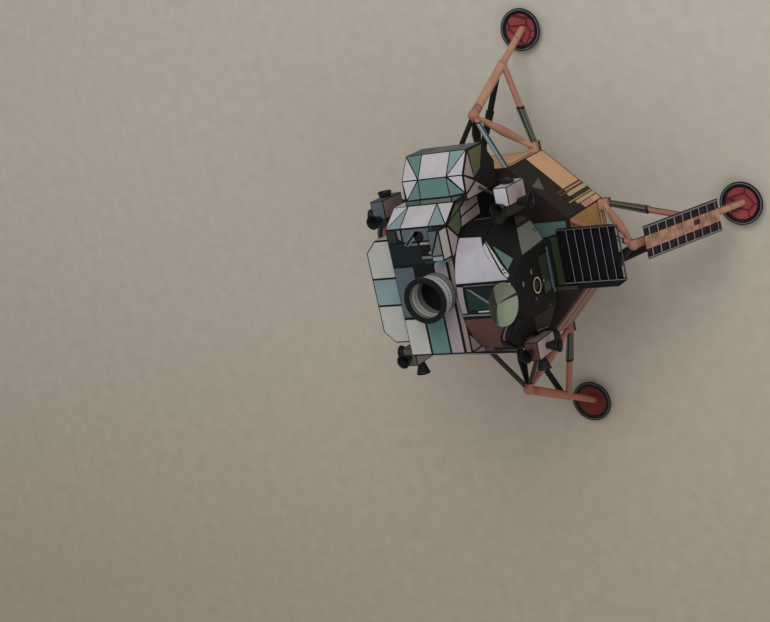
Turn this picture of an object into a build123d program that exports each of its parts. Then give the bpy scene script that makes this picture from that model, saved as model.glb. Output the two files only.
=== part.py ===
from build123d import *
import os
from math import cos, radians, sin

# Lunar lander, a glued card scale model at 1:48, standing on its four footpads.
# Millimetres, +Z up, front with the ladder at -Y, port at +X, origin on the floor under the centre.

# Descent stage
half_flats = 38.6            # centre to each side wall
corner_half = 15.1           # half width of the front, port, aft and starboard walls
body_bottom_z = 34.5
deck_top_z = 68.5
deck_thickness = 0.8
deck_overhang = 0.4
underside_thickness = 0.6

# Descent engine bell
bell_exit_radius = 15.5
bell_top_radius = 8.0
bell_exit_z = 11.5
bell_wall = 0.6
bell_bands = 6               # conical bands of card
bell_flare = 1.4             # how fast the bell widens below its top, 1 would be a straight cone

# Landing gear
pad_centre_radius = 87.5     # centre of the lander to the centre of a footpad
pad_radius = 9.5
pad_sole_radius = 5.5
pad_height = 4.0
pad_dish_depth = 2.2
pad_rim_width = 1.1
pad_rim_height = 0.6
pad_socket_radius = 2.6
apex_radius = 61.0           # where the outriggers meet the primary strut
apex_z = 59.8
knuckle_radius = 2.4
primary_radius = 1.95
primary_lower_radius = 1.5
primary_sleeve_share = 0.6   # share of the primary strut that is the wide upper tube
junction_share = 0.56        # where the secondary struts join it
secondary_outer_radius = 1.35
secondary_inner_radius = 1.8
secondary_side_step = 1.2    # its outer end sits this far beside the axis of the primary strut
secondary_split_share = 0.52
upper_outrigger_radius = 1.1
lower_outrigger_radius = 1.0
lower_outrigger_middle_radius = 2.0
lower_outrigger_tip_radius = 0.7
fitting_size = 4.2           # block at each lower corner that takes the struts
upper_outrigger_spread = 0.94    # where it meets the wall, as a share of the wall's half width
upper_outrigger_drop = 2.5       # below the deck
upper_outrigger_inset = 1.0      # its cut end starts this far inside the wall
lower_spread = 0.86
lower_outrigger_share = 0.9      # height of its end, as a share of the fitting
lower_outrigger_out = 0.62       # how far out its end lies, as a share of the fitting
secondary_end_share = 0.2
secondary_end_out = 0.6

# Porch and ladder
porch_half_width = 11.5
porch_back_y = -33.2
porch_front_y = -61.0
porch_depth = 2.6
porch_recess = 1.0
porch_wall = 0.8
porch_slats = 6
porch_slat_width = 0.6
porch_taper = 5.0            # how much shorter the porch is underneath
porch_flare = 3.0            # how far the starboard side flares out
porch_flare_drop = 1.6
porch_flare_thickness = 0.5
porch_flare_back_gap = 5.9
ladder_half_width = 6.9
ladder_stand_off = 4.1       # ladder plane ahead of the axis of the front strut
ladder_top_share = 0.05
ladder_bottom_share = 0.71
ladder_sheet = 0.5
ladder_rail_width = 1.1
ladder_relief = 0.4
ladder_rungs = 9
ladder_rung_width = 0.8
bracket_size = 2.4
bracket_shares = (0.12, 0.4, 0.66)

# Crew cabin
cabin_x = -3.0               # the cabin sits off the centre line
cabin_half_width = 27.0
cabin_half_height = 23.0
cabin_axis_z = deck_top_z + 24.0
cabin_floor_z = deck_top_z + 12.6
cabin_back_y = -8.0
cabin_split_y = -20.0        # where the front part meets the barrel
front_face_y = -33.0
front_face_half = 12.5
cheek_sweep = 26.0
facet_half = 5.0             # half width of the face where the window facets meet its top
facet_sweep = 53.0
facet_tilt = 26.0
window_outline = [(16.0, -10.4), (6.5, -10.6), (5.0, -4.8)]   # along the facet, up the facet
panel_thickness = 0.4
ring_outer_radius = 3.7
ring_inner_radius = 2.5
ring_x = -4.5
ring_z = deck_top_z + 27.0
hatch_x = -2.0
hatch_half_width = 8.0
hatch_bottom_z = cabin_floor_z + 1.2
hatch_height = 8.5
sill_half_width = 9.5
sill_height = 0.8
cabin_base_half = 14.0       # narrower base that carries the cabin over the deck

# Midsection and tank bays
mid_back_y = 20.5
mid_roof_z = deck_top_z + 44.5
mid_port_roof_x = 27.5
mid_starboard_x = 26.0
mid_shoulder_x = 34.2
mid_shoulder_z = deck_top_z + 34.7
mid_low_x = 27.0
mid_side_low_z = deck_top_z + 9.2
port_bay_front_y = -14.0
bay_back_y = 14.5
port_bay_x = 53.3
port_crown_x = 44.5
port_sill_x = 44.0
port_crown_z = deck_top_z + 34.0
port_brow_z = deck_top_z + 27.0
port_side_low_z = deck_top_z + 14.0
port_base_z = deck_top_z + 7.0
port_base_rise = 2.2         # how far its underside rises to the midsection
starboard_bay_x = 38.5
starboard_brow_z = deck_top_z + 8.0
starboard_base_x = 33.0
starboard_base_z = deck_top_z + 3.5
aft_bay_back_y = 36.0
aft_bay_half = 22.0
aft_bay_bottom_z = deck_top_z + 5.2
aft_bay_top_z = deck_top_z + 38.2
aft_bay_chamfer = 5.0

# Roof pieces
tunnel_y = 2.0
tunnel_radius = 8.5
tunnel_wall = 1.2
tunnel_top_z = deck_top_z + 55.5
tunnel_lip = 1.0
roof_box_inset = 6.8         # from the port edge of the roof to the middle of the box
roof_box_y = -5.05
roof_box_size = (13.2, 5.1, 6.0)
roof_box_top_share = 0.95    # length of the top as a share of the foot
dish_radius = 8.5
dish_depth = 3.0
dish_wall = 0.5
dish_centre = (cabin_x, -33.4, deck_top_z + 57.0)
dish_knee = (0.45, 0.3)      # share of the radius, share of the depth where the slope changes
dish_tilt = 12.0             # degrees that the dish looks up from level
dish_yoke_radius = 1.6
dish_foot_radius = 3.0
dish_foot_height = 1.2
dish_mast_gap = 1.5          # behind the back of the dish

# Attitude thrusters
quad_x = 30.1
quad_y = 28.8
quad_z = deck_top_z + 26.2
quad_size = (7.5, 5.8, 15.0)
quad_arm_root = 0.6          # share of the quad's distance where its arm starts
quad_arm_radius = 1.8
quad_brace_radius = 0.6
quad_brace_aim = {1: (43.5, deck_top_z + 21.0), -1: (31.0, quad_z)}    # x and z inside a tank bay
nozzle_exit_radius = 3.0
nozzle_throat_radius = 1.1
nozzle_length = 6.0
nozzle_wall = 0.4

sides = {"port": 0, "aft": 90, "starboard": 180, "front": 270}
corners = {"port_front": (1, -1), "port_aft": (1, 1), "starboard_aft": (-1, 1), "starboard_front": (-1, -1)}


def tube(start, end, radius, end_radius=None):
    """A straight tube or taper between two points."""
    axis = Vector(*end) - Vector(*start)
    plane = Plane(origin=start, z_dir=axis)
    if end_radius is None or end_radius == radius:
        return Solid.make_cylinder(radius, axis.length, plane)
    return Solid.make_cone(radius, end_radius, axis.length, plane)


def prism(points, direction):
    """A closed flat outline pushed along a direction."""
    outline = Face(Wire.make_polygon([Vector(*point) for point in points]))
    return Solid.extrude(outline, Vector(*direction))


def octagon(half, corner, bottom, top):
    outline = [(half, corner), (corner, half), (-corner, half), (-half, corner),
               (-half, -corner), (-corner, -half), (corner, -half), (half, -corner)]
    return prism([(x, y, bottom) for x, y in outline], (0, 0, top - bottom))


def beyond(point, normal, size=160.0):
    """A block that fills the space on the far side of a plane."""
    return Location(Plane(origin=point, z_dir=normal)) * Pos(0, 0, size / 2) * Box(size, size, size)


def turned(radius, height, degrees_round):
    """A point at a radius from the centre, turned round the vertical axis."""
    angle = radians(degrees_round)
    return (radius * cos(angle), radius * sin(angle), height)


def between(start, end, share):
    return tuple(a + (b - a) * share for a, b in zip(start, end))


def revolved(outline):
    """A profile of radius and height pairs, turned once round the vertical axis."""
    face = Face(Wire.make_polygon([Vector(radius, 0, height) for radius, height in outline]))
    return Solid.revolve(face, 360, Axis.Z)


def descent_body():
    return octagon(half_flats, corner_half, body_bottom_z, deck_top_z - deck_thickness)


def descent_deck():
    return octagon(half_flats + deck_overhang, corner_half + deck_overhang / 2,
                   deck_top_z - deck_thickness, deck_top_z)


def descent_underside():
    return octagon(half_flats, corner_half, body_bottom_z - underside_thickness, body_bottom_z)


def bell_radius(share):
    """Outer radius of the bell from its top to its exit, flaring fast and then straightening."""
    widening = bell_flare * share + (1 - bell_flare) * share ** 2
    return bell_top_radius + (bell_exit_radius - bell_top_radius) * widening


def engine_bell():
    top = body_bottom_z - underside_thickness
    outer = []
    for step in range(bell_bands + 1):
        share = step / bell_bands
        outer.append((bell_radius(share), top + (bell_exit_z - top) * share))
    inner = [(radius - bell_wall, height) for radius, height in reversed(outer)]
    inner[-1] = (bell_top_radius - bell_wall, top - bell_wall)
    closed_top = [(0.0, top - bell_wall), (0.0, top)]
    return revolved(outer + inner + closed_top)


def footpad(degrees_round):
    floor = pad_height - pad_dish_depth
    pad = revolved([(0, 0), (pad_sole_radius, 0), (pad_radius, pad_height - pad_rim_height),
                    (pad_radius, pad_height), (pad_radius - pad_rim_width, pad_height),
                    (pad_socket_radius, floor), (0, floor)])
    return Pos(*turned(pad_centre_radius, 0, degrees_round)) * pad


def leg_apex(degrees_round):
    return turned(apex_radius, apex_z, degrees_round)


def leg_foot(degrees_round):
    return turned(pad_centre_radius, pad_height - pad_dish_depth, degrees_round)


def wall_corner(degrees_round, hand, out, height):
    """A corner of one cardinal wall; hand is +1 or -1 round from the middle."""
    angle = radians(degrees_round)
    along = hand * corner_half
    radius = half_flats + out
    return (radius * cos(angle) - along * sin(angle), radius * sin(angle) + along * cos(angle), height)


def primary_strut(degrees_round):
    apex, foot = leg_apex(degrees_round), leg_foot(degrees_round)
    sleeve_end = between(apex, foot, primary_sleeve_share)
    strut = tube(apex, sleeve_end, primary_radius) + tube(sleeve_end, foot, primary_lower_radius)
    strut = strut + Pos(*apex) * Sphere(knuckle_radius)
    return strut - footpad(degrees_round)


def corner_fittings(degrees_round):
    fittings = []
    for hand in (1, -1):
        x, y, z = wall_corner(degrees_round, hand, fitting_size / 2, body_bottom_z + fitting_size / 2)
        inset = hand * fitting_size / 2
        angle = radians(degrees_round)
        x += inset * sin(angle)
        y -= inset * cos(angle)
        block = Box(fitting_size, fitting_size, fitting_size)
        fittings.append(Pos(x, y, z) * Rot(0, 0, degrees_round) * block)
    return fittings


def trimmed(shape, *cutters):
    for cutter in cutters:
        shape = shape - cutter
    return largest(shape)


def largest(shape):
    """The biggest solid that a cut leaves."""
    return max(shape.solids(), key=lambda solid: solid.volume)


def upper_outriggers(degrees_round, body, primary):
    height = deck_top_z - upper_outrigger_drop
    struts = []
    for hand in (1, -1):
        end = wall_corner(degrees_round, hand * upper_outrigger_spread, -upper_outrigger_inset, height)
        strut = tube(end, leg_apex(degrees_round), upper_outrigger_radius)
        struts.append(trimmed(strut, body, primary))
    return struts


def lower_outriggers(degrees_round, fittings, primary, body):
    apex = leg_apex(degrees_round)
    height = body_bottom_z + lower_outrigger_share * fitting_size
    struts = []
    for hand, fitting in zip((1, -1), fittings):
        end = wall_corner(degrees_round, hand * lower_spread, lower_outrigger_out * fitting_size, height)
        middle = between(end, apex, 0.5)
        strut = tube(end, middle, lower_outrigger_radius, lower_outrigger_middle_radius)
        strut = strut + tube(middle, apex, lower_outrigger_middle_radius, lower_outrigger_tip_radius)
        struts.append(trimmed(strut, fitting, primary, body))
    return struts


def secondary_struts(degrees_round, fittings, primary, body):
    junction = between(leg_apex(degrees_round), leg_foot(degrees_round), junction_share)
    height = body_bottom_z + secondary_end_share * fitting_size
    angle = radians(degrees_round)
    struts = []
    for hand, fitting in zip((1, -1), fittings):
        end = wall_corner(degrees_round, hand * lower_spread, secondary_end_out * fitting_size, height)
        step = hand * secondary_side_step
        start = (junction[0] - step * sin(angle), junction[1] + step * cos(angle), junction[2])
        split = between(start, end, secondary_split_share)
        strut = tube(start, split, secondary_outer_radius)
        strut = strut + tube(split, end, secondary_inner_radius, secondary_outer_radius)
        struts.append(trimmed(strut, fitting, primary, body))
    return struts


def porch():
    back, front, half = porch_back_y, porch_front_y, porch_half_width
    bottom = deck_top_z
    top = bottom + porch_depth
    slab = prism([(half, back, bottom), (half, back, top), (half, front, top),
                  (half, front + porch_taper, bottom)], (-2 * half, 0, 0))
    inner_half = half - porch_wall
    length = back - front - 2 * porch_wall
    middle_y = (back + front) / 2
    recess = Pos(0, middle_y, top) * Box(2 * inner_half, length, 2 * porch_recess)
    slab = slab - recess
    for number in range(1, porch_slats + 1):
        y = front + porch_wall + length * number / (porch_slats + 1)
        slab = slab + Pos(0, y, top - porch_recess / 2) * Box(2 * inner_half, porch_slat_width, porch_recess)
    low, out = top - porch_flare_drop, half + porch_flare
    flare_back = back - porch_flare_back_gap
    flare = prism([(-half, flare_back, top), (-half, front, top), (-out, front + porch_taper, low),
                   (-out, flare_back, low)], (0, 0, -porch_flare_thickness))
    return slab + flare


def ladder(primary):
    apex, foot = leg_apex(sides["front"]), leg_foot(sides["front"])
    axis = Vector(*foot) - Vector(*apex)
    outward = axis.cross(Vector(1, 0, 0)).normalized()
    length = axis.length * (ladder_bottom_share - ladder_top_share)
    top = Vector(*between(apex, foot, ladder_top_share)) + outward * ladder_stand_off
    place = Location(Plane(origin=top, x_dir=(1, 0, 0), z_dir=outward))
    strip = Pos(0, -length / 2, 0) * Box(2 * ladder_half_width, length, ladder_sheet)
    raised = (ladder_sheet + ladder_relief) / 2
    for hand in (1, -1):
        x = hand * (ladder_half_width - ladder_rail_width / 2)
        strip = strip + Pos(x, -length / 2, raised) * Box(ladder_rail_width, length, ladder_relief)
    for number in range(ladder_rungs):
        y = -length * (number + 0.5) / ladder_rungs
        strip = strip + Pos(0, y, raised) * Box(2 * ladder_half_width, ladder_rung_width, ladder_relief)
    depth = ladder_stand_off - ladder_sheet / 2
    for share in bracket_shares:
        y = -length * (share - ladder_top_share) / (ladder_bottom_share - ladder_top_share)
        strip = strip + Pos(0, y, -ladder_sheet / 2 - depth / 2) * Box(bracket_size, bracket_size, depth)
    return place * strip - primary


def cabin_form(front, back):
    """A length of the cabin's oval section, cut flat at the floor."""
    plane = Plane(origin=(cabin_x, front, cabin_axis_z), x_dir=(1, 0, 0), z_dir=(0, 1, 0))
    barrel = extrude(plane * Ellipse(cabin_half_width, cabin_half_height), back - front)
    return barrel - beyond((cabin_x, 0, cabin_floor_z), (0, 0, -1))


def facet_plane(hand):
    """A window facet: its origin at the top of the face, x outboard, y up the facet."""
    sweep, tilt = radians(facet_sweep), radians(facet_tilt)
    normal = (hand * sin(sweep) * cos(tilt), -cos(sweep) * cos(tilt), sin(tilt))
    origin = (cabin_x + hand * facet_half, front_face_y, cabin_axis_z + cabin_half_height)
    return Plane(origin=origin, x_dir=(cos(sweep), hand * sin(sweep), 0), z_dir=normal)


def cabin_front():
    front = cabin_form(front_face_y, cabin_split_y)
    sweep = radians(cheek_sweep)
    for hand in (1, -1):
        facet = facet_plane(hand)
        fold = (cabin_x + hand * front_face_half, front_face_y, cabin_axis_z)
        front = front - beyond(fold, (hand * sin(sweep), -cos(sweep), 0))
        front = front - beyond(facet.origin, facet.z_dir)
    return front


def cabin_base():
    depth = cabin_back_y - cabin_split_y
    height = cabin_floor_z - deck_top_z
    centre = Pos(cabin_x, cabin_back_y - depth / 2, deck_top_z + height / 2)
    return centre * Box(2 * cabin_base_half, depth, height)


def window_panel(hand):
    outline = [Vector(hand * x, y, 0) for x, y in window_outline]
    pane = Solid.extrude(Face(Wire.make_polygon(outline)), Vector(0, 0, panel_thickness))
    return Location(facet_plane(hand)) * pane


def face_panel(x, half_width, bottom, height):
    """A thin card panel on the front face."""
    place = Pos(x, front_face_y - panel_thickness / 2, bottom + height / 2)
    return place * Box(2 * half_width, panel_thickness, height)


def tracking_ring():
    place = Plane(origin=(ring_x, front_face_y, ring_z), z_dir=(0, -1, 0))
    outer = Solid.make_cylinder(ring_outer_radius, panel_thickness, place)
    return outer - Solid.make_cylinder(ring_inner_radius, panel_thickness, place)


def cross_section(outline, front, back):
    """A closed outline of x and height, seen from the front, carried from front to back."""
    return prism([(x, front, z) for x, z in outline], (0, back - front, 0))


def midsection():
    outline = [(mid_port_roof_x, mid_roof_z), (mid_shoulder_x, mid_shoulder_z),
               (mid_shoulder_x, mid_side_low_z), (mid_low_x, deck_top_z),
               (-mid_starboard_x, deck_top_z), (-mid_starboard_x, mid_roof_z)]
    return cross_section(outline, cabin_back_y, mid_back_y)


def port_tank_bay():
    outline = [(mid_shoulder_x, mid_shoulder_z), (port_crown_x, port_crown_z), (port_bay_x, port_brow_z),
               (port_bay_x, port_side_low_z), (port_sill_x, port_base_z),
               (mid_shoulder_x, port_base_z + port_base_rise)]
    return cross_section(outline, port_bay_front_y, bay_back_y)


def starboard_tank_bay():
    outline = [(-mid_starboard_x, mid_roof_z), (-starboard_bay_x, starboard_brow_z),
               (-starboard_base_x, starboard_base_z), (-mid_starboard_x, starboard_base_z)]
    return cross_section(outline, cabin_back_y, bay_back_y)


def aft_bay():
    half, bottom, top = aft_bay_half, aft_bay_bottom_z, aft_bay_top_z
    back = aft_bay_back_y
    outline = [(half, mid_back_y), (half, back - aft_bay_chamfer), (half - aft_bay_chamfer, back),
               (aft_bay_chamfer - half, back), (-half, back - aft_bay_chamfer), (-half, mid_back_y)]
    return prism([(x, y, bottom) for x, y in outline], (0, 0, top - bottom))


def docking_tunnel():
    lip = tunnel_radius + tunnel_lip
    bore = tunnel_radius - tunnel_wall
    low, high = mid_roof_z, tunnel_top_z
    tunnel = revolved([(bore, low), (tunnel_radius, low), (tunnel_radius, high - 2 * tunnel_lip),
                       (lip, high - tunnel_lip), (lip, high), (bore, high)])
    return Pos(0, tunnel_y, 0) * tunnel


def roof_box():
    length, width, height = roof_box_size
    x, low, high = mid_port_roof_x - roof_box_inset, mid_roof_z, mid_roof_z + height
    foot, top = length / 2, roof_box_top_share * length / 2
    outline = [(x - foot, low), (x + foot, low), (x + top, high), (x - top, high)]
    return cross_section(outline, roof_box_y - width / 2, roof_box_y + width / 2)


def radar_dish():
    knee_radius, knee_depth = dish_knee
    steps = [(0.0, 0.0), (knee_radius * dish_radius, knee_depth * dish_depth), (dish_radius, dish_depth)]
    inner = [(radius, height + dish_wall) for radius, height in reversed(steps)]
    dish = revolved(steps + inner)
    x, y, z = dish_centre
    tilt = radians(dish_tilt)
    facing = Vector(0, -cos(tilt), sin(tilt))
    origin = Vector(x, y, z) - facing * dish_depth
    return Location(Plane(origin=origin, z_dir=facing)) * dish, origin


def radar_mount(back_point, dish):
    roof = cabin_axis_z + cabin_half_height
    x, y = back_point.X, back_point.Y + dish_mast_gap
    foot = Pos(x, y, roof) * Cylinder(dish_foot_radius, 2 * dish_foot_height)
    mast = tube((x, y, roof), (x, y, back_point.Z), dish_yoke_radius)
    arm = tube((x, y, back_point.Z), (x, back_point.Y - dish_mast_gap, back_point.Z), dish_yoke_radius)
    return foot + mast + arm


def quad_place(corner):
    hand_x, hand_y = corners[corner]
    return Vector(hand_x * quad_x, hand_y * quad_y, quad_z)


def thruster_quad(corner, *carriers):
    centre = quad_place(corner)
    housing = Pos(*centre) * Box(*quad_size)
    root = (quad_arm_root * centre.X, quad_arm_root * centre.Y, centre.Z)
    arm = tube(root, tuple(centre), quad_arm_radius)
    hand_x, hand_y = corners[corner]
    aim_x, aim_z = quad_brace_aim[hand_x]
    brace = tube(tuple(centre), (hand_x * aim_x, 0, aim_z), quad_brace_radius)
    return trimmed(housing + arm + brace, *carriers)


def thruster_nozzles(corner):
    hand_x, hand_y = corners[corner]
    centre = quad_place(corner)
    exit_in, throat_in = nozzle_exit_radius - nozzle_wall, nozzle_throat_radius - nozzle_wall
    cone = revolved([(0, 0), (nozzle_throat_radius, 0), (nozzle_exit_radius, nozzle_length),
                     (exit_in, nozzle_length), (throat_in, nozzle_wall), (0, nozzle_wall)])
    width, depth, height = quad_size
    directions = [((0, 0, 1), height / 2), ((0, 0, -1), height / 2),
                  ((hand_x, 0, 0), width / 2), ((0, hand_y, 0), depth / 2)]
    nozzles = []
    for direction, distance in directions:
        plane = Plane(origin=centre + Vector(*direction) * distance, z_dir=direction)
        nozzles.append(Location(plane) * cone)
    return nozzles


def build():
    nodes = {}
    body = descent_body()
    nodes["descent_body"] = body
    nodes["descent_deck"] = descent_deck()
    nodes["descent_underside"] = descent_underside()
    nodes["engine_bell"] = engine_bell()
    for side, angle in sides.items():
        primary = primary_strut(angle)
        fittings = corner_fittings(angle)
        nodes["footpad_" + side] = footpad(angle)
        nodes["primary_strut_" + side] = primary
        nodes["corner_fittings_" + side] = fittings
        nodes["upper_outriggers_" + side] = upper_outriggers(angle, body, primary)
        nodes["lower_outriggers_" + side] = lower_outriggers(angle, fittings, primary, body)
        nodes["secondary_struts_" + side] = secondary_struts(angle, fittings, primary, body)
    nodes["porch"] = porch()
    nodes["ladder"] = ladder(nodes["primary_strut_front"])

    nodes["cabin_front"] = cabin_front()
    nodes["cabin_barrel"] = cabin_form(cabin_split_y, cabin_back_y)
    nodes["window_port"] = window_panel(1)
    nodes["window_starboard"] = window_panel(-1)
    nodes["forward_hatch"] = face_panel(hatch_x, hatch_half_width, hatch_bottom_z, hatch_height)
    nodes["hatch_sill"] = face_panel(hatch_x, sill_half_width, cabin_floor_z, sill_height)
    nodes["tracking_ring"] = tracking_ring()
    nodes["midsection"] = midsection()
    nodes["cabin_base"] = cabin_base()
    nodes["tank_bay_port"] = port_tank_bay() - nodes["midsection"]
    nodes["tank_bay_starboard"] = starboard_tank_bay()
    nodes["aft_bay"] = aft_bay()
    nodes["docking_tunnel"] = docking_tunnel()
    nodes["roof_box"] = roof_box()
    dish, back_point = radar_dish()
    nodes["radar_dish"] = dish
    cabin = [nodes["cabin_front"], nodes["cabin_barrel"]]
    nodes["radar_mount"] = trimmed(radar_mount(back_point, dish), dish, *cabin)
    bays = [nodes[name] for name in ("midsection", "tank_bay_port", "tank_bay_starboard", "aft_bay")]
    carriers = cabin + bays
    for corner in corners:
        nodes["thruster_quad_" + corner] = thruster_quad(corner, *carriers)
        nodes["thruster_nozzles_" + corner] = thruster_nozzles(corner)

    os.makedirs("parts", exist_ok=True)
    for name, shape in nodes.items():
        solids = []
        for piece in shape if isinstance(shape, list) else [shape]:
            solids += piece.solids()
        export_step(solids[0] if len(solids) == 1 else Compound(solids), "parts/" + name + ".step")


build()
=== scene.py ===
from math import cos, pi, radians, sin, sqrt

import bmesh
import bpy
from mathutils import Matrix, Quaternion, Vector


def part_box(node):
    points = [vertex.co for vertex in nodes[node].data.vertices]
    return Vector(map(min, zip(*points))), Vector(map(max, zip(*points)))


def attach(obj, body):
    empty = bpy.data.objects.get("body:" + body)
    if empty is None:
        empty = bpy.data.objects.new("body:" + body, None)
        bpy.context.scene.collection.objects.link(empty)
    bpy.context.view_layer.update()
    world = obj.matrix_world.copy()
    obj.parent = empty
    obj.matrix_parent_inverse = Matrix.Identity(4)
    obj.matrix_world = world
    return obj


# Lunar lander, a glued and printed card scale model.
# Metres, +Z up, the front with the ladder at -Y, port at +X. Tables are in millimetres.

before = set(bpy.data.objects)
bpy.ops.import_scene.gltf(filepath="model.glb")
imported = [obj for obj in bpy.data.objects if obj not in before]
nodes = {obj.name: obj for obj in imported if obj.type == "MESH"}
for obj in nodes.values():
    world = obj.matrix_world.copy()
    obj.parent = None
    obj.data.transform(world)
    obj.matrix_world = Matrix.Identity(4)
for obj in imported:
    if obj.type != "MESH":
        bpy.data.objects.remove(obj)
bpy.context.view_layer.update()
MM = 0.001

# Sizes of the solids, in millimetres
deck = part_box("descent_deck")
deck_z = deck[1].z / MM
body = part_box("descent_body")
body_half = body[1].x / MM
body_low_z = body[0].z / MM
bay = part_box("tank_bay_port")
bay_front_y = bay[0].y / MM
bay_back_y = bay[1].y / MM
bay_x = bay[1].x / MM
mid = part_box("midsection")
mid_front_y = mid[0].y / MM
mid_back_y = mid[1].y / MM
mid_roof_z = mid[1].z / MM
mid_x = mid[1].x / MM
cabin_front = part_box("cabin_front")
cabin_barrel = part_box("cabin_barrel")
cabin_top_z = cabin_barrel[1].z / MM
cabin_x = (cabin_barrel[0].x + cabin_barrel[1].x) / 2 / MM
cabin_half_width = (cabin_barrel[1].x - cabin_barrel[0].x) / 2 / MM
cabin_half_height = 23.0
face_y = cabin_front[0].y / MM

# Card
half_outline = 0.24          # half of the printed line between two panels
sheet_thickness = 0.14

# Sides, legs and corners
hands = ((1, "port"), (-1, "starboard"))
legs = ("port", "aft", "starboard", "front")
corners_round = ("port_front", "port_aft", "starboard_aft", "starboard_front")

# Camera
camera_place = Vector((0.15078, -0.33910, 0.65996))
camera_aim = Vector((-0.01893, 0.05893, 0.0685))
camera_roll = radians(-121.476)
camera_lens = 77.146


# Colours of the printing, linear; the darker tan of the starboard and aft legs and the darker red of the
# starboard pad are painted shade
palette = {
    "ink": (0.007, 0.006, 0.006),
    "brown_black": (0.019, 0.0135, 0.0118),
    "white": (0.475, 0.450, 0.458),
    "lilac_white": (0.44, 0.415, 0.455),
    "cream_white": (0.42, 0.41, 0.37),
    "lilac": (0.27, 0.235, 0.25),
    "mid_grey": (0.155, 0.15, 0.155),
    "dim_grey": (0.085, 0.08, 0.082),
    "teal": (0.110, 0.195, 0.180),
    "window_teal": (0.088, 0.152, 0.132),
    "dull_teal": (0.060, 0.105, 0.092),
    "pale_teal": (0.210, 0.285, 0.290),
    "deep_teal": (0.009, 0.031, 0.024),
    "sea_black": (0.007, 0.013, 0.014),
    "slate": (0.120, 0.122, 0.108),
    "blue_slate": (0.085, 0.108, 0.122),
    "grey_green": (0.132, 0.136, 0.120),
    "moss": (0.040, 0.052, 0.028),
    "grey_moss": (0.088, 0.108, 0.062),
    "bark": (0.034, 0.029, 0.018),
    "olive": (0.112, 0.110, 0.044),
    "deep_olive": (0.022, 0.027, 0.017),
    "navy": (0.0035, 0.0038, 0.0055),
    "pink": (0.335, 0.150, 0.110),
    "coral": (0.48, 0.21, 0.160),
    "pink_beige": (0.235, 0.165, 0.150),
    "rose_grey": (0.365, 0.280, 0.268),
    "tan": (0.43, 0.240, 0.150),
    # a darker tan for the starboard and aft legs, painted shade
    "shaded_rust_tan": (0.37, 0.135, 0.085),
    "brick": (0.31, 0.125, 0.088),
    "orange": (0.58, 0.330, 0.180),
    "gold": (0.43, 0.235, 0.085),
    "cream": (0.40, 0.35, 0.20),
    "umber": (0.100, 0.043, 0.032),
    "dark_red": (0.090, 0.016, 0.016),
    "pad_red": (0.28, 0.050, 0.054),
    # the starboard pad's red, darkened as painted shade
    "pad_red_shaded": (0.130, 0.018, 0.016),
    "ladder_tan": (0.27, 0.135, 0.088),
    "dish_green": (0.21, 0.25, 0.17),
    "dish_pale": (0.180, 0.184, 0.138),
}
ink, brown_black, navy = palette["ink"], palette["brown_black"], palette["navy"]


def add(tree, kind, inputs=None, **settings):
    """A shader node with its settings, and its inputs set or linked."""
    made = tree.nodes.new("ShaderNode" + kind)
    for name, value in settings.items():
        setattr(made, name, value)
    for socket, value in (inputs or {}).items():
        if isinstance(value, bpy.types.NodeSocket):
            tree.links.new(value, made.inputs[socket])
        else:
            made.inputs[socket].default_value = value
    return made


def sums(tree, operation, *values):
    """The result of one arithmetic node."""
    return add(tree, "Math", dict(enumerate(values)), operation=operation).outputs[0]


def mixed(tree, share, first, second):
    """One colour laid over another by a share from 0 to 1."""
    sockets = {0: share}
    for index, colour in ((6, first), (7, second)):
        sockets[index] = colour if isinstance(colour, bpy.types.NodeSocket) else (*colour, 1)
    return add(tree, "Mix", sockets, data_type="RGBA").outputs[2]


def place_on(tree, centre=(0, 0, 0)):
    """Object coordinates measured from a centre given in millimetres, in millimetres."""
    coordinates = add(tree, "TexCoord").outputs["Object"]
    moved = {"Vector": coordinates, "Scale": (1 / MM,) * 3, "Location": [-value for value in centre]}
    return add(tree, "Mapping", moved).outputs[0]


def bands(tree, value, low, high, stops):
    """Flat bands of colour along a measured value; each stop is where a colour starts."""
    share = add(tree, "MapRange", {"Value": value, "From Min": low, "From Max": high}).outputs[0]
    ramp = add(tree, "ValToRGB", {"Fac": share})
    ramp.color_ramp.interpolation = "CONSTANT"
    elements = ramp.color_ramp.elements
    while len(elements) < len(stops):
        elements.new(0.5)
    for element, (start, colour) in zip(elements, stops):
        element.position = (start - low) / (high - low)
    for element, (start, colour) in zip(elements, stops):
        element.color = (*colour, 1)
    return ramp.outputs["Color"]


def card_finish(tree, colour, roughness=0.62, fibre=0.16):
    """Printed card: toned fibres, faint blotches of ink, a soft sheen and a fine tooth."""
    shader = tree.nodes["Principled BSDF"]
    position = place_on(tree)
    fibres = add(tree, "TexNoise", {"Vector": position, "Scale": 2.6, "Detail": 6.0, "Roughness": 0.7})
    blotches = add(tree, "TexNoise", {"Vector": position, "Scale": 0.16, "Detail": 3.0})
    tone = sums(tree, "MULTIPLY_ADD", fibres.outputs[0], fibre, 1 - fibre / 2)
    tone = sums(tree, "MULTIPLY", tone, sums(tree, "MULTIPLY_ADD", blotches.outputs[0], 0.22, 0.89))
    toned = add(tree, "VectorMath", {0: colour, "Scale": tone}, operation="SCALE").outputs[0]
    tree.links.new(toned, shader.inputs["Base Color"])
    gloss = sums(tree, "MULTIPLY_ADD", blotches.outputs[0], 0.18, roughness - 0.09)
    tree.links.new(gloss, shader.inputs["Roughness"])
    shader.inputs["Specular IOR Level"].default_value = 0.16
    tooth = add(tree, "Bump", {"Height": fibres.outputs[0], "Strength": 0.10, "Distance": 0.0001})
    tree.links.new(tooth.outputs[0], shader.inputs["Normal"])


def new_material(name):
    material = bpy.data.materials.new(name)
    material.use_nodes = True
    return material, material.node_tree


cards = {}
washes = {"orange": "cream", "gold": "bark", "coral": "gold", "tan": "coral", "rose_grey": "lilac",
          "lilac_white": "lilac", "white": "lilac", "teal": "dull_teal", "cream": "tan", "pale_teal": "teal"}


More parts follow.
